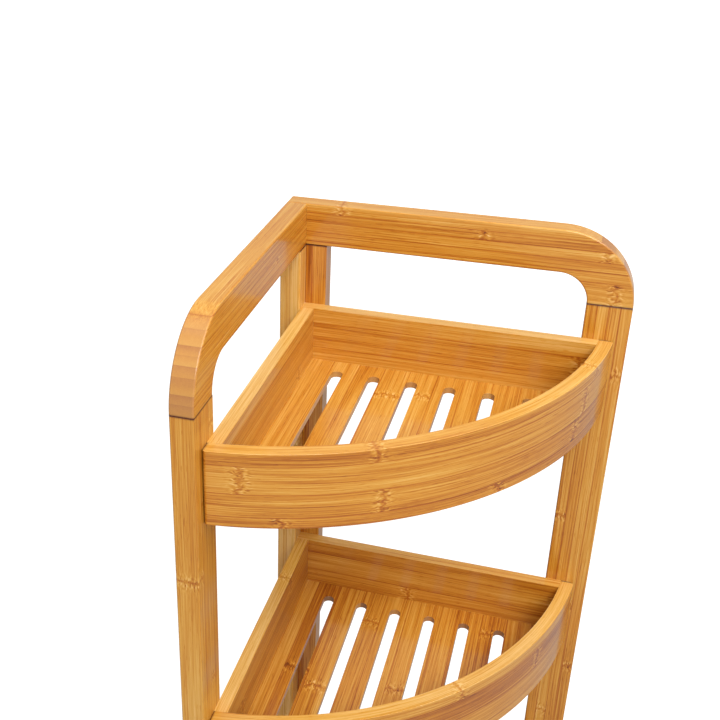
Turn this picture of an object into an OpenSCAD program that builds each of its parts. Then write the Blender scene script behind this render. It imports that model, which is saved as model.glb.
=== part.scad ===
// Free-standing corner shower caddy: three quarter-round trays with slotted floors, held inside
// three posts, under two top rails that turn down onto the front posts.
// The walls of the room meet at the back left edge: the left wing runs forward along -Y, and the
// back wing runs to the right along +X. Z is up, and the origin is on the floor under the middle
// of the square that the caddy covers. Sizes are in millimetres.

/* [Overall] */
// Length of each wing, from the corner of the room to the front face of its post
footprint = 240; // [200:1:300]
// Height from the floor to the top of the rails
height = 640; // [560:1:800]

/* [Frame] */
// Thickness of the rails and posts
board_t = 15; // [12:0.5:22]
// Width of the front posts, and depth of the rails that turn down onto them
board_w = 30; // [24:1:40]
// Outer width of each leg of the corner post
corner_w = 30; // [24:1:40]
// Outer radius of the curve where a rail turns down
hook_r = 50; // [44:1:70]

/* [Trays] */
// Height of a tray's walls
tray_h = 50; // [40:1:70]
// Distance from the top of the rails to the rim of the upper tray
tray_drop = 75; // [60:1:100]
// Distance from one tray's rim to the next one's
tray_pitch = 204; // [170:1:240]
// Thickness of the two straight walls
side_t = 9; // [8:0.5:12]
// Thickness of the curved wall
front_t = 9.4; // [8:0.2:12]
// How far a tray's front corner stands back from the front face of its post
front_setback = 9; // [4:0.5:14]
// How far behind the corner of the room the centre of the curved wall lies
front_centre = 15; // [0:1:30]
// Radius on the upright edges at the ends of the curved wall
front_edge_r = 2.5; // [1:0.25:4]

/* [Floors] */
// Thickness of a floor board
floor_t = 4.5; // [4:0.5:7]
// Height of a floor board's underside above the lower edges of the tray's walls
floor_rise = 5.5; // [2:0.5:8]
// Depth of the groove that holds a floor board
groove = 3; // [2:0.25:4]
// Width of a drain slot
slot_w = 8.3; // [6:0.1:11]
// Distance from one drain slot to the next
slot_pitch = 26.9; // [20:0.1:34]
// Distance from the left wall to the first slot
slot_first = 19; // [12:0.5:24]
// Distance from the back wall, and from the curved wall, to the ends of the slots
slot_margin = 15; // [12:0.5:26]

/* [Fasteners] */
// Diameter of the dowels between posts and rails
dowel_d = 6; // [5:0.5:7]
// Length of the dowels between posts and rails
dowel_l = 30; // [24:1:34]
// Distance of the dowels from the edges of their post
dowel_inset = 8; // [7:0.5:10]
// Wood left over the end of the level dowel in the back rail
dowel_cover = 3; // [2:0.5:5]
// Diameter of the pins at the corners of a tray
pin_d = 4; // [3:0.5:4.5]
// Length of the pins at the corners of a tray
pin_l = 20; // [16:1:26]
// Depth of a pin in the wall that it crosses
pin_bite = 6; // [4:0.5:7]
// Diameter of the screws
screw_d = 3.5; // [3:0.25:4]
// Diameter of a screw's head
screw_head_d = 7; // [6:0.25:8]
// Depth that a screw at a front post reaches into the end of the curved wall
front_bite = 17; // [12:1:20]
// Depth that a screw at the corner post reaches into the back wall of a tray
back_bite = 5; // [4:0.5:6]
// Radial clearance of a screw, pin or dowel in its hole
hole_fit = 0.05; // [0.05:0.05:0.2]

/* [Feet] */
// Thickness of the pads under the posts
pad_t = 3; // [2:0.5:5]
// How far a pad stands in from the sides of its post
pad_inset = 1.5; // [1:0.25:3]

/* [Hidden] */
$fn = 96;
arc_fn = 240; // sides that stand for the curved wall's circles in a quick view
eps = 0.01; // overrun of a cut past a face
tray_names = ["upper", "middle", "lower"];

wood_light = "#e2a958";
wood_mid = "#d3923f";
wood_deep = "#c07f31";
wood_pale = "#e8cfa0";
steel = "silver";
rubber = "#3a3836";

// Levels
rail_low = height - board_w; // underside of the straight stretch of a rail
post_top = height - hook_r; // top of a front post, under the end of its rail
function tray_top(level) = height - tray_drop - level * tray_pitch;
function tray_low(level) = tray_top(level) - tray_h;
floor_depth = tray_h - floor_rise - floor_t; // distance from a tray's rim to its floor
function floor_top(level) = tray_top(level) - floor_depth;

// Curved wall, about a point behind the corner of the room
tray_front = footprint - front_setback; // distance from the wall to a tray's front corner
front_r = norm([tray_front + front_centre, board_t + front_centre]); // its outer face
front_in_r = front_r - front_t; // its inner face

// How far from the corner the curved wall's face of radius r lies, at a distance v from a wall
function reach(r, v) = sqrt(r * r - pow(v + front_centre, 2)) - front_centre;

// Straight walls
wall_in = board_t + side_t; // distance from the room's wall to a tray wall's inner face
pin_v = board_t + side_t / 2; // middle of a tray wall's thickness

// Drain slots
slot_back = wall_in + slot_margin; // distance of a slot's rear end from the room's back wall
slot_min = 3 * slot_w; // shortest slot that is cut
function slot_left(i) = wall_in + slot_first + i * slot_pitch;
slot_room = front_in_r - front_centre - slot_w - slot_left(0); // across the floor, past the first slot
slot_last = floor(slot_room / slot_pitch); // last slot that could find room
function slot_front(i) = reach(front_in_r, slot_left(i) + slot_w) - slot_margin;

// Fasteners
dowel_room = 0.5; // space past each end of a dowel or pin
dowel_up = dowel_l / 2; // length of a dowel in the rail above a post
corner_dowel_z = height - (board_w - dowel_up - dowel_room) / 2; // level dowel, over the upright ones
corner_dowel_bite = board_t - dowel_cover; // its length in the back rail
screw_down = [1, 3] * floor_depth / 5; // distances of the screws below a tray's rim
pin_down = [2, 4] * floor_depth / 5; // distances of the pins below a tray's rim, between the screws
front_screw_u = reach(front_r - front_t / 2, board_t + front_bite / 2); // middle of the curved wall's end
screw_head_h = (screw_head_d - screw_d) / 2; // height of the countersunk cone
screw_tip = 3; // length of a screw's point
screw_tip_d = 0.6; // diameter of its blunt end
cross_w = 0.9; // width of a driver recess's arms
cross_l = 4; // length of a driver recess's arms
cross_depth = 1.4; // depth of a driver recess

// Frames of the two wings: X runs along the wall from the corner of the room, and Y away from it
module on_back_wall() {
    translate([-footprint / 2, footprint / 2, 0]) mirror([0, 1, 0]) children();
}

module on_left_wall() {
    translate([-footprint / 2, footprint / 2, 0]) rotate([0, 0, -90]) children();
}

// A board from corner [u0, v0, z0] to corner [u1, v1, z1]
module board(low, high) {
    translate(low) cube(high - low);
}

// Outline of a rail seen from the side: a straight bar that turns down through a quarter circle
module rail_outline(start) {
    turn = footprint - hook_r;
    translate([start, rail_low]) square([turn - start, board_w]);
    translate([turn, post_top]) intersection() {
        difference() {
            circle(r = hook_r);
            circle(r = hook_r - board_w);
        }
        square(hook_r);
    }
}

module rail_blank(start) {
    translate([0, board_t, 0]) rotate([90, 0, 0]) linear_extrude(board_t) rail_outline(start);
}

// Places of a wing's dowels along its front post, for any child centred on a dowel's axis
module at_post_dowels() {
    for (u = [footprint - board_w + dowel_inset, footprint - dowel_inset])
        translate([u, board_t / 2, 0]) children();
}

module dowel(z, extra = 0) {
    r = dowel_d / 2 + (extra > 0 ? hole_fit : 0);
    translate([0, 0, z - dowel_l / 2 - extra]) cylinder(r = r, h = dowel_l + 2 * extra);
}

// Places of the dowels in the corner post: two along the back wall and one along the left wall
module at_corner_board_dowels() {
    on_back_wall() for (u = [dowel_inset, corner_w - dowel_inset])
        translate([u, board_t / 2, 0]) children();
}

module at_corner_strip_dowel() {
    on_left_wall() translate([(board_t + corner_w) / 2, board_t / 2, 0]) children();
}

// The level dowel that ties the end of the left rail to the back rail
module corner_dowel(extra = 0) {
    r = dowel_d / 2 + (extra > 0 ? hole_fit : 0);
    start = board_t - corner_dowel_bite - extra;
    on_left_wall() translate([start, board_t / 2, corner_dowel_z]) rotate([0, 90, 0])
        cylinder(r = r, h = dowel_l + 2 * extra);
}

// A countersunk screw along +Z from its head, which is flush with the plane z = 0
module screw(reach_in) {
    total = board_t + reach_in;
    difference() {
        union() {
            cylinder(d1 = screw_head_d, d2 = screw_d, h = screw_head_h);
            cylinder(d = screw_d, h = total - screw_tip);
            translate([0, 0, total - screw_tip]) cylinder(d1 = screw_d, d2 = screw_tip_d, h = screw_tip);
        }
        for (turn = [0, 90]) rotate([0, 0, turn])
            translate([-cross_l / 2, -cross_w / 2, -eps]) cube([cross_l, cross_w, cross_depth + eps]);
    }
}

// The hole for that screw, through a post and into a tray wall
module screw_hole(reach_in) {
    r = screw_d / 2 + hole_fit;
    head_r = screw_head_d / 2 + hole_fit;
    translate([0, 0, -eps]) cylinder(r = r, h = board_t + reach_in + hole_fit + eps);
    cylinder(r1 = head_r, r2 = r, h = head_r - r);
}

// Places of a tray's screws: X along the wall, and the screw's length away from the wall
module at_screws(u, level) {
    for (down = screw_down) translate([u, 0, tray_top(level) - down]) rotate([-90, 0, 0]) children();
}

back_screw_u = (board_t + corner_w) / 2; // places the corner screws in the end of the back wall

// Pins along a wing, each crossing pin_bite into the wall that closes the end
module pins(end, direction, level, extra = 0) {
    r = pin_d / 2 + (extra > 0 ? hole_fit : 0);
    start = end - (direction > 0 ? pin_bite : pin_l - pin_bite) - extra;
    for (down = pin_down) translate([start, pin_v, tray_top(level) - down]) rotate([0, 90, 0])
        cylinder(r = r, h = pin_l + 2 * extra);
}

front_pin_u = reach(front_in_r, pin_v); // where a side wall's end meets the curved wall

module tray_pins(level, extra = 0) {
    on_left_wall() pins(wall_in, 1, level, extra);
    on_left_wall() pins(front_pin_u, -1, level, extra);
    on_back_wall() pins(front_pin_u, -1, level, extra);
}

// Everything inside a tray's plan: the two room-side faces and a circle of radius r
module tray_plan(inset, r) {
    translate([-footprint / 2, footprint / 2]) intersection() {
        translate([inset, -footprint]) square(footprint - inset);
        translate([-front_centre, front_centre]) circle(r = r, $fn = arc_fn);
    }
}

module slab(low, high) {
    translate([0, 0, low]) linear_extrude(high - low) children();
}

// Groove for the floor board, all round the inside of a tray
module floor_groove(level) {
    slab(floor_top(level) - floor_t, floor_top(level)) tray_plan(wall_in - groove, front_in_r + groove);
}

module tray_wall_blank(start, level) {
    board([start, board_t, tray_low(level)], [tray_front, wall_in, tray_top(level)]);
}

// Trims a straight wall's end to the curved wall's inner face
module inside_curve(level) {
    intersection() {
        children();
        slab(tray_low(level), tray_top(level)) tray_plan(board_t, front_in_r);
    }
}

// The rounded upright edge where the curved wall's outer face meets its end, as the part cut off
module edge_cut() {
    r = front_edge_r;
    v = board_t + r;
    u = reach(front_r - r, v);
    out = [u + front_centre, v + front_centre] / (front_r - r);
    difference() {
        polygon([[u, v], [u, v - 2 * r], [u + 2 * r, v - 2 * r], [u, v] + 2 * r * out]);
        translate([u, v]) circle(r = r);
    }
}

module left_rail() {
    color(wood_light) difference() {
        on_left_wall() rail_blank(board_t);
        on_left_wall() at_post_dowels() dowel(post_top, dowel_room);
        at_corner_strip_dowel() dowel(rail_low, dowel_room);
        corner_dowel(dowel_room);
    }
}

module back_rail() {
    color(wood_mid) difference() {
        on_back_wall() rail_blank(0);
        on_back_wall() at_post_dowels() dowel(post_top, dowel_room);
        at_corner_board_dowels() dowel(rail_low, dowel_room);
        corner_dowel(dowel_room);
    }
}

module front_post() {
    difference() {
        board([footprint - board_w, 0, pad_t], [footprint, board_t, post_top]);
        at_post_dowels() dowel(post_top, dowel_room);
        for (level = [0 : len(tray_names) - 1]) at_screws(front_screw_u, level) screw_hole(front_bite);
    }
}

module left_post() {
    color(wood_light) on_left_wall() front_post();
}

module right_post() {
    color(wood_mid) on_back_wall() front_post();
}

module corner_post_board() {
    color(wood_mid) difference() {
        on_back_wall() board([0, 0, pad_t], [corner_w, board_t, rail_low]);
        at_corner_board_dowels() dowel(rail_low, dowel_room);
        on_back_wall() for (level = [0 : len(tray_names) - 1])
            at_screws(back_screw_u, level) screw_hole(back_bite);
    }
}

module corner_post_strip() {
    color(wood_light) difference() {
        on_left_wall() board([board_t, 0, pad_t], [corner_w, board_t, rail_low]);
        at_corner_strip_dowel() dowel(rail_low, dowel_room);
    }
}

module tray_left_wall(level) {
    color(wood_mid) difference() {
        inside_curve(level) on_left_wall() tray_wall_blank(wall_in, level);
        floor_groove(level);
        tray_pins(level, dowel_room);
    }
}

module tray_back_wall(level) {
    color(wood_deep) difference() {
        inside_curve(level) on_back_wall() tray_wall_blank(board_t, level);
        floor_groove(level);
        tray_pins(level, dowel_room);
        on_back_wall() at_screws(back_screw_u, level) screw_hole(back_bite);
    }
}

module tray_curved_wall(level) {
    color(wood_light) difference() {
        slab(tray_low(level), tray_top(level)) difference() {
            tray_plan(board_t, front_r);
            translate([-footprint / 2 - front_centre, footprint / 2 + front_centre])
                circle(r = front_in_r, $fn = arc_fn);
        }
        floor_groove(level);
        tray_pins(level, dowel_room);
        on_left_wall() at_screws(front_screw_u, level) screw_hole(front_bite);
        on_back_wall() at_screws(front_screw_u, level) screw_hole(front_bite);
        on_left_wall() slab(tray_low(level) - eps, tray_top(level) + eps) edge_cut();
        on_back_wall() slab(tray_low(level) - eps, tray_top(level) + eps) edge_cut();
    }
}

// One drain slot with round ends, running forward from the back wall
module slot(i) {
    r = slot_w / 2;
    translate([slot_left(i) + r, slot_back + r]) circle(r = r);
    translate([slot_left(i) + r, slot_front(i) - r]) circle(r = r);
    translate([slot_left(i), slot_back + r]) square([slot_w, slot_front(i) - slot_back - slot_w]);
}

module tray_floor(level) {
    color(wood_light) difference() {
        floor_groove(level);
        on_back_wall() slab(floor_top(level) - floor_t - eps, floor_top(level) + eps)
            for (i = [0 : slot_last]) if (slot_front(i) - slot_back > slot_min) slot(i);
    }
}

module upper_tray_left_wall() { tray_left_wall(0); }
module upper_tray_back_wall() { tray_back_wall(0); }
module upper_tray_curved_wall() { tray_curved_wall(0); }
module upper_tray_floor() { tray_floor(0); }
module middle_tray_left_wall() { tray_left_wall(1); }
module middle_tray_back_wall() { tray_back_wall(1); }
module middle_tray_curved_wall() { tray_curved_wall(1); }
module middle_tray_floor() { tray_floor(1); }
module lower_tray_left_wall() { tray_left_wall(2); }
module lower_tray_back_wall() { tray_back_wall(2); }
module lower_tray_curved_wall() { tray_curved_wall(2); }
module lower_tray_floor() { tray_floor(2); }

module left_post_dowels() {
    color(wood_pale) on_left_wall() at_post_dowels() dowel(post_top);
}

module right_post_dowels() {
    color(wood_pale) on_back_wall() at_post_dowels() dowel(post_top);
}

module corner_post_dowels() {
    color(wood_pale) {
        at_corner_board_dowels() dowel(rail_low);
        at_corner_strip_dowel() dowel(rail_low);
    }
}

module rail_corner_dowel() {
    color(wood_pale) corner_dowel();
}

module upper_tray_pins() { color(wood_pale) tray_pins(0); }
module middle_tray_pins() { color(wood_pale) tray_pins(1); }
module lower_tray_pins() { color(wood_pale) tray_pins(2); }

module tray_screws(level) {
    color(steel) {
        on_left_wall() at_screws(front_screw_u, level) screw(front_bite);
        on_back_wall() at_screws(front_screw_u, level) screw(front_bite);
        on_back_wall() at_screws(back_screw_u, level) screw(back_bite);
    }
}

module upper_tray_screws() { tray_screws(0); }
module middle_tray_screws() { tray_screws(1); }
module lower_tray_screws() { tray_screws(2); }

// A flat pad under a board's end, in from its edges
module pad(low, high) {
    board([low[0] + pad_inset, low[1] + pad_inset, 0], [high[0] - pad_inset, high[1] - pad_inset, pad_t]);
}

module front_pad() {
    pad([footprint - board_w, 0], [footprint, board_t]);
}

module left_post_pad() {
    color(rubber) on_left_wall() front_pad();
}

module right_post_pad() {
    color(rubber) on_back_wall() front_pad();
}

module corner_post_pad() {
    color(rubber) {
        on_back_wall() pad([0, 0], [corner_w, board_t]);
        on_left_wall() pad([0, 0], [corner_w, board_t]);
    }
}

left_rail();
back_rail();
left_post();
right_post();
corner_post_board();
corner_post_strip();
upper_tray_left_wall();
upper_tray_back_wall();
upper_tray_curved_wall();
upper_tray_floor();
middle_tray_left_wall();
middle_tray_back_wall();
middle_tray_curved_wall();
middle_tray_floor();
lower_tray_left_wall();
lower_tray_back_wall();
lower_tray_curved_wall();
lower_tray_floor();
left_post_dowels();
right_post_dowels();
corner_post_dowels();
rail_corner_dowel();
upper_tray_pins();
middle_tray_pins();
lower_tray_pins();
upper_tray_screws();
middle_tray_screws();
lower_tray_screws();
left_post_pad();
right_post_pad();
corner_post_pad();
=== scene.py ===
import math
import random

import bmesh
import bpy
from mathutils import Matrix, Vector


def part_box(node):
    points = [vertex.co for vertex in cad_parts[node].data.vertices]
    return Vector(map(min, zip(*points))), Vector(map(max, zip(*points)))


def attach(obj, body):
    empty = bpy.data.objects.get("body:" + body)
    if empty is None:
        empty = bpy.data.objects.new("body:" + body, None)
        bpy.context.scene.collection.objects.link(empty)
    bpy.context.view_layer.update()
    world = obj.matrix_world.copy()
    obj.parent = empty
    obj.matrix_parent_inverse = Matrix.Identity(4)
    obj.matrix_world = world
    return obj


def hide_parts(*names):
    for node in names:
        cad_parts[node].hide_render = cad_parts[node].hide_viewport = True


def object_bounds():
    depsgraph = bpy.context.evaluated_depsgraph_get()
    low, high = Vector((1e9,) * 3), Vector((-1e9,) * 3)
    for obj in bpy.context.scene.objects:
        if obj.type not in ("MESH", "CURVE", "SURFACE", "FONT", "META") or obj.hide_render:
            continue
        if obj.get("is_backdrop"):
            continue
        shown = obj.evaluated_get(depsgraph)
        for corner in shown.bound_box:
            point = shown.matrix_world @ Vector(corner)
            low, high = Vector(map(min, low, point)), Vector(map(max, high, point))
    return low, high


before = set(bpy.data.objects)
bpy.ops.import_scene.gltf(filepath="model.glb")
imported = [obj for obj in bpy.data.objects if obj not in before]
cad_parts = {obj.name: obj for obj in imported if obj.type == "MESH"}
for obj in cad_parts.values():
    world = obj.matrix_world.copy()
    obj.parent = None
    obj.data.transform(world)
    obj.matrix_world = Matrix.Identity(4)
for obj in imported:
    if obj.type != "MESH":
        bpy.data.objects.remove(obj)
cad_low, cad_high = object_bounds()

MM = 0.001

# ---------------------------------------------------------------- places, from the frame

wall_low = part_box("upper_tray_left_wall")[0]
back_wall_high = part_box("upper_tray_back_wall")[1]
TOP = cad_high.z
POST_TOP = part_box("left_post")[1].z  # where a rail turns down onto its front post
CORNER_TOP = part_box("corner_post_strip")[1].z  # where the corner post meets the rails
LEFT, RIGHT = cad_low.x, cad_high.x
FRONT, BACK = cad_low.y, cad_high.y
TRAYS = ("upper", "middle", "lower")

# The curved walls are turned about a point behind the corner of the room
BEHIND = 15 * MM
HALF_THICK = 4.7 * MM
CENTRE_X, CENTRE_Y = LEFT - BEHIND, BACK + BEHIND
CURVE_IN = math.hypot(wall_low.x - CENTRE_X, wall_low.y - CENTRE_Y)
CURVE_MID = CURVE_IN + HALF_THICK  # radius along the middle of their thickness

FASTENERS = [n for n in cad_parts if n.endswith(("dowels", "dowel", "pins", "screws"))]
PADS = [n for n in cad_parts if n.endswith("pad")]
STRAIGHT = [
    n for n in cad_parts
    if n.endswith(("rail", "post", "board", "strip", "left_wall", "back_wall"))
]

# ---------------------------------------------------------------- shapes

WELD = 1e-6  # points of a mesh closer than this are one point
FLAT = math.radians(0.5)  # faces that meet at less than this are one face
SHARP = math.radians(30)  # edges that turn by more than this are edges of the board
ROUND = 2.0 * MM  # width of the rounding on the edges of a curved wall
ON_BOARD = 0.6  # share of ROUND on the free edges of the other boards
ROUND_STEPS = 3
AT_JOINT = 0.18  # share of ROUND where a board meets its neighbour
AT_SLOT = 0.24  # share of ROUND round the drain slots
ON_PAD = 0.36  # share of ROUND on the pads
HOLE_ROOM = 0.8 * MM  # an edge this close to a fastener belongs to its hole and stays crisp
TOUCH = 0.02 * MM


def inside(point, box, room):
    """Whether the point is in the box (low, high) grown by room."""
    return all(box[0][k] - room <= point[k] <= box[1][k] + room for k in range(3))


def joined_mesh(node):
    """A node's mesh with shared points and whole flat faces."""
    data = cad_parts[node].data
    bm = bmesh.new()
    for v in data.vertices:
        bm.verts.new(v.co)
    bm.verts.ensure_lookup_table()
    for p in data.polygons:
        bm.faces.new([bm.verts[i] for i in p.vertices])
    bmesh.ops.remove_doubles(bm, verts=bm.verts, dist=WELD)
    bmesh.ops.dissolve_limit(bm, angle_limit=FLAT, verts=bm.verts, edges=bm.edges)
    return bm


def solid_boxes(node):
    """The box of each separate solid in a node."""
    bm = joined_mesh(node)
    left, boxes = set(bm.verts), []
    while left:
        todo, found = [left.pop()], []
        while todo:
            v = todo.pop()
            found.append(v.co.copy())
            near = {e.other_vert(v) for e in v.link_edges} & left
            left -= near
            todo.extend(near)
        boxes.append([[pick(p[k] for p in found) for k in range(3)] for pick in (min, max)])
    bm.free()
    return boxes


fastener_boxes = [b for n in FASTENERS for b in solid_boxes(n)]


def rounding(edge, node, share, neighbours):
    """The share of ROUND that an edge gets, or None where it stays crisp."""
    ends = [v.co for v in edge.verts]
    if any(all(inside(p, b, HOLE_ROOM) for p in ends) for b in fastener_boxes):
        return None
    if any(all(inside(p, b, TOUCH) for p in ends) for b in neighbours):
        return AT_JOINT
    radii = [math.hypot(p.x - CENTRE_X, p.y - CENTRE_Y) for p in ends]
    if node in STRAIGHT and all(abs(r - CURVE_IN) < TOUCH for r in radii):
        return AT_JOINT
    return share


def rounded(node, name, share):
    """A copy of a node with softened edges, which stands for it."""
    bm = joined_mesh(node)
    weight = bm.edges.layers.float.new("bevel_weight_edge")
    neighbours = [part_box(n) for n in STRAIGHT if n != node]
    for e in bm.edges:
        if len(e.link_faces) == 2 and e.calc_face_angle(0) > SHARP:
            part = rounding(e, node, share, neighbours)
            if part is None:
                e.smooth = False
            else:
                e[weight] = part
    for f in bm.faces:
        f.smooth = True
    mesh = bpy.data.meshes.new(name)
    bm.to_mesh(mesh)
    bm.free()
    piece = bpy.data.objects.new(name, mesh)
    bpy.context.scene.collection.objects.link(piece)
    bevel = piece.modifiers.new("rounding", "BEVEL")
    bevel.limit_method = "WEIGHT"
    bevel.width = ROUND
    bevel.segments = ROUND_STEPS
    bevel.harden_normals = True
    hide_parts(node)
    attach(piece, "root")
    return piece


# ---------------------------------------------------------------- node trees


def linear(text):
    """A colour such as e2a958 as linear numbers with alpha."""
    parts = [int(text[i : i + 2], 16) / 255 for i in (0, 2, 4)]
    return [c / 12.92 if c <= 0.04045 else ((c + 0.055) / 1.055) ** 2.4 for c in parts] + [1.0]


class Graph:
    """A node tree, with short calls for the nodes that the materials use."""

    def __init__(self, tree):
        self.tree = tree

    def node(self, kind, values=(), **settings):
        made = self.tree.nodes.new(kind)
        for key, value in settings.items():
            setattr(made, key, value)
        for key, value in dict(values).items():
            self.put(made.inputs[key], value)
        return made

    def put(self, socket, value):
        if isinstance(value, bpy.types.NodeSocket):
            self.tree.links.new(value, socket)
        else:
            socket.default_value = value

    def math(self, operation, *values, clamp=False):
        return self.node(
            "ShaderNodeMath", enumerate(values), operation=operation, use_clamp=clamp
        ).outputs[0]

    def add(self, *values):
        total = values[0]
        for v in values[1:]:
            total = self.math("ADD", total, v)
        return total

    def sub(self, a, b):
        return self.math("SUBTRACT", a, b)

    def mul(self, *values):
        total = values[0]
        for v in values[1:]:
            total = self.math("MULTIPLY", total, v)
        return total

    def bell(self, x, width):
        """1 where x is 0, falling away over about twice the width."""
        share = self.mul(x, 1 / width)
        return self.math("EXPONENT", self.mul(share, share, -1.0))

    def step(self, x, low, high):
        """0 below low, 1 above high, and smooth between them."""
        made = self.node(
            "ShaderNodeMapRange",
            {"Value": x, "From Min": low, "From Max": high},
            interpolation_type="SMOOTHSTEP",
        )
        return made.outputs["Result"]

    def share(self, x, low, high):
        """How far x lies from low to high, from 0 to 1."""
        made = self.node("ShaderNodeMapRange", {"Value": x, "From Min": low, "From Max": high})
        return made.outputs["Result"]

    def cells(self, counts, along, across, depth):
        """A place among a noise's cells, from their counts to the metre."""
        parts = [self.mul(x, n) for x, n in zip((along, across, depth), counts)]
        return self.node("ShaderNodeCombineXYZ", enumerate(parts)).outputs[0]

    def noise(self, vector, detail=0.0, roughness=0.5):
        """Noise about zero."""
        made = self.node(
            "ShaderNodeTexNoise",
            {"Vector": vector, "Scale": 1.0, "Detail": detail, "Roughness": roughness},
        )
        return self.sub(made.outputs["Fac"], 0.5)

    def cloud(self, cells, detail):
        """Solid noise about zero, with the same cells to the metre every way."""
        point = self.node("ShaderNodeTexCoord").outputs["Object"]
        scaled = self.node(
            "ShaderNodeVectorMath", {0: point, 1: (cells, cells, cells)}, operation="MULTIPLY"
        )
        return self.noise(scaled.outputs[0], detail)

    def ramp(self, x, stops, interpolation="LINEAR"):
        """A ramp through stops, each a place and a colour."""
        made = self.node("ShaderNodeValToRGB", {"Fac": x})
        made.color_ramp.interpolation = interpolation
        points = made.color_ramp.elements
        while len(points) < len(stops):
            points.new(0.5)
        for point, (at, colour) in zip(points, stops):
            point.position = at
            point.color = colour
        return made

    def mix(self, factor, a, b):
        """Colour a, turning to colour b as factor goes to 1."""
        made = self.node(
            "ShaderNodeMix", {0: factor, 6: a, 7: b}, data_type="RGBA", clamp_factor=True
        )
        return made.outputs[2]


def new_material(name):
    made = bpy.data.materials.new(name)
    made.use_nodes = True
    graph = Graph(made.node_tree)
    return made, graph, made.node_tree.nodes["Principled BSDF"]


# ---------------------------------------------------------------- bamboo

FIBRES = [  # from the darkest fibre to the lightest
    (0.00, "3a1102"), (0.20, "763708"), (0.38, "a65d12"), (0.55, "c48125"),
    (0.72, "d39b41"), (1.00, "e9be76"),
]
MIDDLE = 0.60  # where plain bamboo lies among them
RED = linear("a34a0c")  # glue, and the heart of a knuckle
GREY = linear("b08a5c")  # end grain
JOINT_SHADE_COLOUR = linear("481000")  # painted shade in the joints

# Cells of each noise to the metre: along the grain, across it and into the board
FINE = (16, 1500, 1500)  # single fibres
WIDE = (7, 420, 420)  # bundles of fibres
BROAD = (5, 70, 1)  # clouds of colour
DASHES = (130, 1700, 1700)  # short dark dashes
SPECKLE = (300, 900, 900)  # the speckled wood of a knuckle
WAVES = (190, 330, 330)  # waves of the fibres beside a knuckle
STRAY = (11, 50, 1)  # the fibres' slow straying
RAGGED = (90, 420, 1)  # the ragged ridge of a knuckle

BOW = 7 * MM  # how far the ridge bows, times the square of the distance from its middle
RAGGED_BY = 6 * MM
NEAR_RIDGE = 5.5 * MM  # how far a knuckle disturbs the fibres
RIDGE = 1.3 * MM
WAVE_BY = 5 * MM
STRAY_BY = 1.6 * MM
GLUE = 0.3 * MM  # width of a glue line
NEXT_STRIP = 0.37  # one strip's fibres don't carry on in the next

LIGHTEN = {  # what each part of the pattern adds to the place among the fibres
    "fine": 0.80, "wide": 0.42, "broad": 0.34, "dashes": -0.10, "speckle": 1.5, "knuckle": 0.05,
    "core": -0.34, "glue": -0.17, "end": -0.06, "band": 0.16,
}
ROUGHEN = {"plain": 0.34, "fine": -0.25, "end": 0.14, "broad": 0.10}
RAISE = {"fine": 0.55, "wide": 0.25, "glue": -0.5, "core": -0.6}
CALM_END = 0.8  # how much weaker fibres and glue are on end grain
STRONG_END = 1.8  # how much stronger the strips' tones are there
GREY_END = 0.38
SPECULAR, COAT, COAT_ROUGHNESS = 0.3, 0.6, 0.12
BUMP, BUMP_HEIGHT = 0.22, 0.25 * MM


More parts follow.
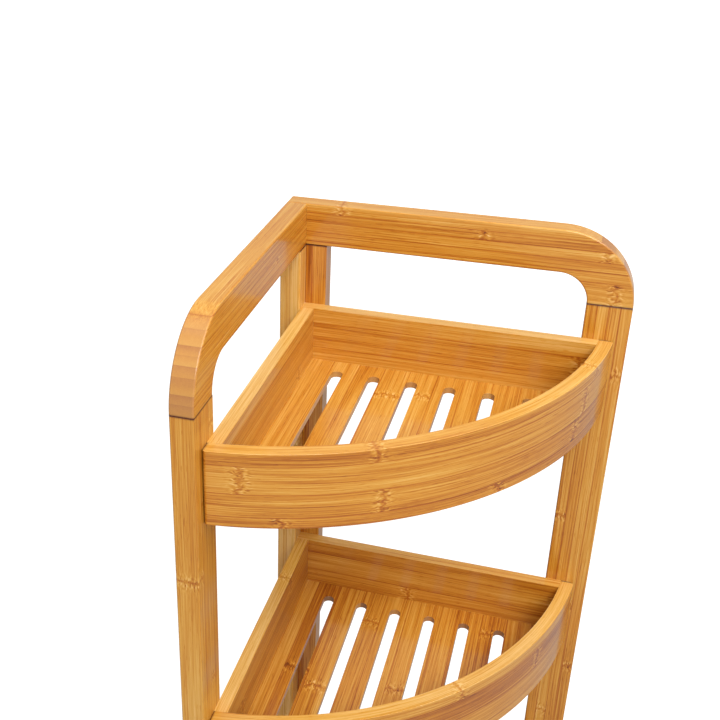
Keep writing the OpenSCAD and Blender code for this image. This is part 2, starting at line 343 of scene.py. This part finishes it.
def bamboo_group():
    """The look of one glued strip of bamboo: its fibres, its knuckle and its glue lines."""
    tree = bpy.data.node_groups.new("bamboo_strip", "ShaderNodeTree")
    for name in (
        "Along", "Across", "Depth", "Local", "Glue", "Tone", "Seed", "Knuckle", "End", "Seam",
    ):
        tree.interface.new_socket(name, in_out="INPUT", socket_type="NodeSocketFloat")
    tree.interface.new_socket("Color", in_out="OUTPUT", socket_type="NodeSocketColor")
    tree.interface.new_socket("Roughness", in_out="OUTPUT", socket_type="NodeSocketFloat")
    tree.interface.new_socket("Height", in_out="OUTPUT", socket_type="NodeSocketFloat")
    g = Graph(tree)
    get = g.node("NodeGroupInput").outputs
    along, across, depth, seed = get["Along"], get["Across"], get["Depth"], get["Seed"]
    at_end = get["End"]

    # The knuckle: a ridge that bows across its strip, with wavy fibres round it
    off = g.sub(get["Local"], 0.5)
    bow = g.mul(off, off, BOW)
    ragged = g.mul(g.noise(g.cells(RAGGED, along, across, seed)), RAGGED_BY)
    from_ridge = g.add(get["Knuckle"], bow, ragged)
    about = g.bell(from_ridge, NEAR_RIDGE)
    ridge = g.bell(from_ridge, RIDGE)

    # Fibres: long streaks, bent near a knuckle and straying a little elsewhere
    waves = g.noise(g.cells(WAVES, along, across, depth), 1.0)
    stray = g.noise(g.cells(STRAY, along, across, seed))
    bent = g.add(across, g.mul(waves, about, WAVE_BY), g.mul(stray, STRAY_BY))
    sunk = g.add(depth, g.mul(seed, NEXT_STRIP))
    fine = g.noise(g.cells(FINE, along, bent, sunk), 3.0, 0.6)
    wide = g.noise(g.cells(WIDE, along, bent, sunk), 2.0)
    broad = g.noise(g.cells(BROAD, along, across, sunk), 1.0)
    dashes = g.step(g.noise(g.cells(DASHES, along, bent, sunk)), 0.17, 0.26)
    speckle = g.noise(g.cells(SPECKLE, along, bent, sunk), 1.0)
    core = g.mul(ridge, g.step(speckle, -0.12, 0.12))
    calm = g.sub(1.0, g.mul(at_end, CALM_END))
    glue = g.mul(g.bell(get["Glue"], GLUE), calm)

    tone = g.mul(get["Tone"], g.add(1.0, g.mul(at_end, STRONG_END)))
    value = g.add(
        MIDDLE,
        tone,
        g.mul(fine, calm, LIGHTEN["fine"]),
        g.mul(wide, calm, LIGHTEN["wide"]),
        g.mul(broad, LIGHTEN["broad"]),
        g.mul(dashes, calm, LIGHTEN["dashes"]),
        g.mul(about, calm, speckle, LIGHTEN["speckle"]),
        g.mul(about, LIGHTEN["knuckle"]),
        g.mul(core, LIGHTEN["core"]),
        g.mul(glue, LIGHTEN["glue"]),
        g.mul(at_end, LIGHTEN["end"]),
        g.mul(at_end, off, LIGHTEN["band"]),
    )
    colour = g.ramp(value, [(at, linear(c)) for at, c in FIBRES]).outputs["Color"]
    reddish = g.mul(g.add(g.mul(glue, 0.8), g.mul(core, 0.9)), calm, 0.45)
    colour = g.mix(reddish, colour, RED)
    colour = g.mix(g.mul(at_end, GREY_END), colour, GREY)
    # painted shade at the joints and at the curved walls' ends, mixed over the colour
    colour = g.mix(get["Seam"], colour, JOINT_SHADE_COLOUR)
    rough = g.add(
        ROUGHEN["plain"],
        g.mul(fine, ROUGHEN["fine"]),
        g.mul(at_end, ROUGHEN["end"]),
        g.mul(broad, ROUGHEN["broad"]),
    )
    height = g.add(
        g.mul(fine, RAISE["fine"]),
        g.mul(wide, RAISE["wide"]),
        g.mul(glue, RAISE["glue"]),
        g.mul(core, RAISE["core"]),
    )
    out = g.node("NodeGroupOutput")
    g.put(out.inputs["Color"], colour)
    g.put(out.inputs["Roughness"], rough)
    g.put(out.inputs["Height"], height)
    return tree


strip_group = bamboo_group()

TOP_LIGHT_PAINTED = 0.15  # painted light: how much lighter the trays' rims are on faces that point up
EDGE_HIGHLIGHT_PAINTED = 0.12  # painted highlight: how much lighter again their rounded top edges are
FAR = 1.0  # where a strip without a knuckle keeps it
SPACING = 0.27  # usual distance from one knuckle of the bamboo to the next
TONES = 0.07  # the most that a strip's tone strays by chance
MIDDLE_TRAY_SHADE = -0.07  # painted shade: the middle tray's bamboo is set slightly darker, for the shade under the upper tray
MOST_STRIPS = 14
SEEDS = 40.0
WIDTH_CODE = 10  # a strip's width is kept ten times over, to fit the ramp's 0 to 1


def laid_strips(name, width, total, length):
    """Strips of about the given width, with chance tones and knuckles, and painted shade on the
    middle tray.
    """
    # painted shade for the middle tray
    shade = MIDDLE_TRAY_SHADE if name.startswith("middle") else 0.0
    dice = random.Random(name)
    strips, at = [], -dice.random() * 0.6 * width
    while at < total:
        low, at = max(at, 0.0), at + width
        where = (dice.random() - 0.5) * SPACING
        spots = [where, where + (SPACING if where < 0 else -SPACING)]
        knuckles = [s for s in spots if abs(s) < length / 2]
        strips.append((min(at, total) - low, dice.uniform(-TONES, TONES) + shade, knuckles))
    return strips[:MOST_STRIPS]


def coded(x):
    """A distance of up to 1 m either way as a number from 0 to 1."""
    return 0.5 + x / 2


def bamboo(name, along, across, depth, strips, joint_shades=(), end=None, rim=False):
    """A material for one board. along, across and depth each take the graph and give a distance in
    metres: along the grain from the board's middle, across its strips from the first one's free
    edge, and into it. strips gives each one's width, tone and knuckles. With rim, faces that point
    up get painted light, and their rounded edges a painted highlight."""
    made, g, shader = new_material(name)
    a, c, d = along(g), across(g), depth(g)
    count = len(strips)
    place, at = [], 0.0
    for width, _, _ in strips:
        place.append(g.share(c, at, at + width))
        at += width
    s = g.math("MINIMUM", g.add(*place), count - 0.001)
    index = g.math("FLOOR", s)
    local = g.sub(s, index)
    fac = g.mul(g.add(index, 0.5), 1 / count)
    dice = random.Random(name + " seeds")
    facts, spots = [], []
    for i, (width, tone, knuckles) in enumerate(strips):
        one = knuckles[0] if knuckles else FAR
        two = knuckles[1] if len(knuckles) > 1 else FAR
        facts.append((i / count, (0.5 + tone, dice.random(), width * WIDTH_CODE, 1.0)))
        spots.append((i / count, (coded(one), coded(two), 0.0, 1.0)))
    fact = g.node("ShaderNodeSeparateColor", {0: g.ramp(fac, facts, "CONSTANT").outputs["Color"]})
    spot = g.node("ShaderNodeSeparateColor", {0: g.ramp(fac, spots, "CONSTANT").outputs["Color"]})
    away = [g.sub(a, g.mul(g.sub(spot.outputs[k], 0.5), 2.0)) for k in (0, 1)]
    nearer = g.math("LESS_THAN", g.math("ABSOLUTE", away[1]), g.math("ABSOLUTE", away[0]))
    knuckle = g.add(away[0], g.mul(nearer, g.sub(away[1], away[0])))
    to_edge = g.math("MINIMUM", local, g.sub(1.0, local))
    # The outer edges of the first and the last strip are no glue lines
    inner = g.mul(g.math("GREATER_THAN", s, 0.5), g.math("LESS_THAN", s, count - 0.5))
    glue = g.add(g.mul(to_edge, fact.outputs[2], 1 / WIDTH_CODE), g.mul(g.sub(1.0, inner), FAR))
    # painted shade lines along the joint planes, each a bell of the given width and strength
    joint_shade = 0.0
    for socket, plane, width, strength in joint_shades:
        near = g.mul(g.bell(g.sub(socket(g), plane), width), strength)
        joint_shade = near if joint_shade == 0.0 else g.math("MAXIMUM", joint_shade, near)
    tone = g.sub(fact.outputs[0], 0.5)
    # painted light on faces that point up, and a painted highlight on their rounded edges, both
    # read from the surface's normal
    if rim:
        normal = g.node("ShaderNodeNewGeometry").outputs["Normal"]
        up = g.node("ShaderNodeSeparateXYZ", {0: normal}).outputs[2]
        top_light_mask, edge_highlight_mask = g.step(up, 0.4, 0.9), g.bell(g.sub(up, 0.7), 0.22)
        tone = g.add(tone, g.mul(top_light_mask, TOP_LIGHT_PAINTED), g.mul(edge_highlight_mask, EDGE_HIGHLIGHT_PAINTED))
    look = g.node("ShaderNodeGroup", node_tree=strip_group)
    values = {
        "Along": a, "Across": c, "Depth": d, "Local": local, "Glue": glue,
        "Tone": tone, "Seed": g.mul(fact.outputs[1], SEEDS),
        "Knuckle": knuckle, "End": end(g) if end else 0.0, "Seam": joint_shade,
    }
    for key, value in values.items():
        g.put(look.inputs[key], value)
    bump = g.node(
        "ShaderNodeBump",
        {"Height": look.outputs["Height"], "Strength": BUMP, "Distance": BUMP_HEIGHT},
    )
    g.put(shader.inputs["Base Color"], look.outputs["Color"])
    g.put(shader.inputs["Roughness"], look.outputs["Roughness"])
    g.put(shader.inputs["Normal"], bump.outputs["Normal"])
    shader.inputs["Specular IOR Level"].default_value = SPECULAR
    shader.inputs["Coat Weight"].default_value = COAT
    shader.inputs["Coat Roughness"].default_value = COAT_ROUGHNESS
    return made


# Distances that the boards' materials read, each from the point being shaded


def coordinate(axis, zero=0.0, sign=1.0):
    """A distance along axis 0, 1 or 2, from zero."""

    def read(g):
        point = g.node("ShaderNodeTexCoord").outputs["Object"]
        value = g.node("ShaderNodeSeparateXYZ", {0: point}).outputs[axis]
        return g.mul(g.sub(value, zero), sign)

    return read


def round_the_curve(g):
    """Distance along a curved wall, from its middle."""
    x, y = coordinate(0, CENTRE_X)(g), coordinate(1, CENTRE_Y)(g)
    return g.mul(g.add(g.math("ARCTAN2", y, x), math.radians(45)), CURVE_MID)


def out_from_centre(g):
    """Distance out from the middle of a curved wall's thickness."""
    x, y = coordinate(0, CENTRE_X)(g), coordinate(1, CENTRE_Y)(g)
    return g.sub(g.math("SQRT", g.add(g.mul(x, x), g.mul(y, y))), CURVE_MID)


def end_grain(axis):
    """1 on faces square to the grain, 0 on faces along it."""

    def read(g):
        normal = g.node("ShaderNodeNewGeometry").outputs["Normal"]
        value = g.node("ShaderNodeSeparateXYZ", {0: normal}).outputs[axis]
        return g.step(g.math("ABSOLUTE", value), 0.15, 0.6)

    return read


JOINT_SHADE_WIDTH = 0.75 * MM  # half the width of the painted shade line at a joint
END_SHADE_WIDTH = 1.0 * MM  # width of the painted shade where the rounded end of a curved wall meets its post
POST_MIDDLE = 0.3  # the height that the posts' knuckles are measured from
POST_WIDE = 30 * MM
STRIP, FLOOR_STRIP = 17 * MM, 19 * MM  # usual widths of a strip in the walls and the floors
WALL_DEEP = 50.2 * MM
WALL_LONG, CURVE_LONG = 0.22, 0.33
# painted shade where the rails turn down onto the posts, and where the corner post meets the rails
hook_joint_shade = (coordinate(2), POST_TOP, JOINT_SHADE_WIDTH, 1.0)
corner_joint_shade = (coordinate(2), CORNER_TOP, JOINT_SHADE_WIDTH, 1.0)


def mm_strips(*strips):
    """Strips with their sizes in millimetres."""
    return [(w * MM, tone, [k * MM for k in knuckles]) for w, tone, knuckles in strips]


materials = {
    "left_rail": bamboo(
        "left_rail_bamboo", coordinate(1), coordinate(2, TOP, -1), coordinate(0),
        mm_strips(
            (3.0, 0.04, []), (4.4, 0.01, []), (6.4, 0.02, []), (4.2, -0.02, [35]),
            (4.6, 0.02, []), (5.6, -0.04, []), (9.0, -0.02, []), (5.6, -0.05, []),
            (7.4, -0.02, []),
        ),
        [hook_joint_shade], end_grain(1),
    ),
    "back_rail": bamboo(
        "back_rail_bamboo", coordinate(0), coordinate(2, TOP, -1), coordinate(1),
        mm_strips(
            (6.2, 0.04, [-79]), (6.6, -0.02, [19]), (7.2, 0.01, [100]), (7.0, -0.05, []),
            (7.4, 0.0, []), (16.0, -0.02, [108]),
        ),
        [hook_joint_shade], end_grain(0),
    ),
    "left_post": bamboo(
        "left_post_bamboo", coordinate(2, POST_MIDDLE), coordinate(1, FRONT), coordinate(0),
        mm_strips(
            (7.5, 0.0, [180, -90]), (7.5, -0.05, [-40, 230]), (7.5, 0.03, [90, -180]),
            (7.6, -0.02, [10, 275]),
        ),
        [hook_joint_shade], end_grain(2),
    ),
    "right_post": bamboo(
        "right_post_bamboo", coordinate(2, POST_MIDDLE), coordinate(0, RIGHT - POST_WIDE),
        coordinate(1),
        mm_strips(
            (7.5, -0.03, [120, -150]), (7.5, 0.02, [-70, 200]), (7.5, -0.01, [40, -230]),
            (7.6, 0.03, [240, -20]),
        ),
        [hook_joint_shade], end_grain(2),
    ),
    "corner_post_board": bamboo(
        "corner_board_bamboo", coordinate(2, POST_MIDDLE), coordinate(0, LEFT), coordinate(1),
        mm_strips(
            # the third strip, beside the inner corner, is set darker
            (8.0, 0.0, [60]), (7.0, -0.04, [-150, 130]), (4.6, -0.15, []),
            (10.5, -0.05, [-20, 250]),
        ),
        [corner_joint_shade], end_grain(2),
    ),
    "corner_post_strip": bamboo(
        "corner_strip_bamboo", coordinate(2, POST_MIDDLE), coordinate(0, LEFT), coordinate(1),
        # painted light: both strips are set much lighter, for the light falling on them
        mm_strips((7.4, 0.20, [-60, 215]), (7.7, 0.22, [150, -130])),
        [corner_joint_shade], end_grain(2),
    ),
}

# The upper tray's strips, each with its width, tone and knuckles
upper_curve = mm_strips(
    (8.6, -0.08, [-62, 120]), (18.6, 0.0, [-140, 105]), (15.6, -0.10, [-58, 95]),
    (7.4, -0.10, [-116, 20]),
)
upper_back = mm_strips((11.0, 0.02, []), (19.0, -0.04, [92]), (12.0, 0.02, []), (8.2, -0.04, [40]))
upper_left = mm_strips((9.0, 0.03, []), (20.0, -0.04, [-88]), (21.2, 0.0, [60]))
upper_floor = mm_strips(
    (20.0, 0.0, []), (19.0, 0.02, [-85]), (19.0, -0.02, []), (18.0, 0.03, [58]),
    (20.0, 0.0, [63]), (19.0, -0.02, []), (20.0, 0.02, []), (19.0, -0.01, [30]),
    (20.0, 0.02, []), (30.0, 0.0, [88]),
)
# painted shade along the lines where the curved walls' rounded ends meet their posts
end_shades = [
    (coordinate(0), wall_low.x, END_SHADE_WIDTH, 0.95),
    (coordinate(1), back_wall_high.y, END_SHADE_WIDTH, 0.95),
]
# rim=True gives each tray's walls painted light on top and a painted highlight on their rounded top
# edges
for tray in TRAYS:
    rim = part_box(tray + "_tray_left_wall")[1].z
    chosen = tray == "upper"
    down = coordinate(2, rim, -1)
    name = tray + "_tray_curved_wall"
    materials[name] = bamboo(
        name + "_bamboo", round_the_curve, down, out_from_centre,
        upper_curve if chosen else laid_strips(name, STRIP, WALL_DEEP, CURVE_LONG),
        end_shades,
        rim=True,
    )
    name = tray + "_tray_back_wall"
    materials[name] = bamboo(
        name + "_bamboo", coordinate(0), down, coordinate(1),
        upper_back if chosen else laid_strips(name, STRIP, WALL_DEEP, WALL_LONG),
        end=end_grain(0), rim=True,
    )
    name = tray + "_tray_left_wall"
    materials[name] = bamboo(
        name + "_bamboo", coordinate(1), down, coordinate(0),
        upper_left if chosen else laid_strips(name, STRIP, WALL_DEEP, WALL_LONG),
        end=end_grain(1), rim=True,
    )
    name = tray + "_tray_floor"
    low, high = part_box(name)
    materials[name] = bamboo(
        name + "_bamboo", coordinate(1), coordinate(0, low.x), coordinate(2),
        upper_floor if chosen else laid_strips(name, FLOOR_STRIP, high.x - low.x + MM, WALL_LONG),
        end=end_grain(1),
    )

# ---------------------------------------------------------------- other materials


def turned_wood():
    """Bare wood of dowels and pins."""
    made, g, shader = new_material("turned_wood")
    grain = g.cloud(900, 3.0)
    stops = [(0.0, linear("b08a55")), (0.5, linear("dcbf8e")), (1.0, linear("efdcb6"))]
    g.put(shader.inputs["Base Color"], g.ramp(g.add(grain, 0.5), stops).outputs["Color"])
    g.put(shader.inputs["Roughness"], g.add(g.mul(grain, 0.2), 0.7))
    return made


def zinc():
    """Plated steel of the screws, with faint clouds."""
    made, g, shader = new_material("zinc_plate")
    cloud = g.cloud(1400, 2.0)
    stops = [(0.25, linear("8e8f90")), (0.6, linear("bcbcb8")), (0.9, linear("d2d0c8"))]
    g.put(shader.inputs["Base Color"], g.ramp(g.add(cloud, 0.5), stops).outputs["Color"])
    g.put(shader.inputs["Roughness"], g.add(g.mul(cloud, 0.25), 0.34))
    shader.inputs["Metallic"].default_value = 1.0
    return made


def rubber():
    """Dull moulded rubber with a fine grain."""
    made, g, shader = new_material("pad_rubber")
    grain = g.cloud(2500, 2.0)
    stops = [(0.2, linear("1f1e1d")), (0.8, linear("3b3937"))]
    g.put(shader.inputs["Base Color"], g.ramp(g.add(grain, 0.5), stops).outputs["Color"])
    g.put(shader.inputs["Roughness"], g.add(g.mul(grain, 0.3), 0.75))
    bump = g.node("ShaderNodeBump", {"Height": grain, "Strength": 0.3, "Distance": 0.2 * MM})
    g.put(shader.inputs["Normal"], bump.outputs["Normal"])
    return made


def dress(obj, material):
    obj.data.materials.clear()
    obj.data.materials.append(material)


turned, plated, pad_rubber = turned_wood(), zinc(), rubber()
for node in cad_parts:
    if node.endswith("screws"):
        dress(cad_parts[node], plated)
    elif node in FASTENERS:
        dress(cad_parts[node], turned)
    elif node in PADS:
        dress(rounded(node, node + "_rubber", ON_PAD), pad_rubber)
    else:
        share = ON_BOARD
        if node.endswith("floor"):
            share = AT_SLOT
        elif node.endswith("curved_wall"):
            share = 1.0
        dress(rounded(node, node + "_bamboo", share), materials[node])

# ---------------------------------------------------------------- studio

FLOOR_REACH = 30.0
PALE = 0.36  # what the paper throws back
SEEN = 0.8  # light added to it for the camera alone, so that it comes out white
FAR_LIGHT = 0.5  # light on the paper far from the caddy
NEAR, AWAY = 0.9, 2.6  # where that light starts and is full
SKY_LOW, SKY_HIGH, SKY_SEEN = 0.42, 0.22, 0.6  # room light at the sides, above, and as seen
floor_mesh = bpy.data.meshes.new("studio_floor")
floor_mesh.from_pydata(
    [(x * FLOOR_REACH, y * FLOOR_REACH, 0) for x, y in ((-1, -1), (1, -1), (1, 1), (-1, 1))],
    [], [(0, 1, 2, 3)],
)
floor = bpy.data.objects.new("studio_floor", floor_mesh)
bpy.context.scene.collection.objects.link(floor)
floor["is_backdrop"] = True
pale, g, shader = new_material("studio_paper")
shader.inputs["Base Color"].default_value = (PALE, PALE, PALE, 1)
shader.inputs["Roughness"].default_value = 0.9
shader.inputs["Emission Color"].default_value = (1, 1, 1, 1)
point = g.node("ShaderNodeTexCoord").outputs["Object"]
reach = g.node("ShaderNodeVectorMath", {0: point}, operation="LENGTH").outputs["Value"]
seen = g.node("ShaderNodeLightPath").outputs["Is Camera Ray"]
far = g.mul(g.step(reach, NEAR, AWAY), FAR_LIGHT)
g.put(shader.inputs["Emission Strength"], g.add(g.mul(seen, SEEN), far))
dress(floor, pale)

world = bpy.data.worlds.new("studio")
world.use_nodes = True
g = Graph(world.node_tree)
sky = g.node("ShaderNodeTexCoord").outputs["Generated"]
up = g.node("ShaderNodeSeparateXYZ", {0: sky}).outputs[2]
seen = g.node("ShaderNodeLightPath").outputs["Is Camera Ray"]
background = world.node_tree.nodes["Background"]
background.inputs["Color"].default_value = (1, 1, 1, 1)
above = g.mul(g.step(up, 0.0, 0.9), SKY_HIGH)
g.put(background.inputs["Strength"], g.add(SKY_LOW, above, g.mul(seen, SKY_SEEN)))
bpy.context.scene.world = world


AIM = Vector((0, 0, 0.5))


def softbox(name, at, size, power):
    """A square lamp at a place, turned to the caddy."""
    data = bpy.data.lights.new(name, "AREA")
    data.size = size
    data.energy = power
    lamp = bpy.data.objects.new(name, data)
    lamp.location = at
    lamp.rotation_mode = "QUATERNION"
    lamp.rotation_quaternion = (AIM - Vector(at)).to_track_quat("-Z", "Y")
    bpy.context.scene.collection.objects.link(lamp)


softbox("key", (0.6, -1.35, 1.9), 1.2, 34)
softbox("top", (0.1, 0.1, 2.3), 1.8, 8)
softbox("side", (1.3, -0.2, 2.2), 1.0, 15)

# ---------------------------------------------------------------- camera

TURN, DOWN = math.radians(17.69), math.radians(26.84)
camera_data = bpy.data.cameras.new("camera")
camera_data.sensor_width = 36
camera_data.lens = 53.73
camera_data.shift_x = 0.1358
camera = bpy.data.objects.new("camera", camera_data)
camera.location = (0.0835, -0.5891, 0.8814)
camera.rotation_mode = "QUATERNION"
towards = (-math.sin(TURN) * math.cos(DOWN), math.cos(TURN) * math.cos(DOWN), -math.sin(DOWN))
camera.rotation_quaternion = Vector(towards).to_track_quat("-Z", "Y")
bpy.context.scene.collection.objects.link(camera)
bpy.context.scene.camera = camera
bpy.context.scene.view_settings.view_transform = "Standard"

low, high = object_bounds()
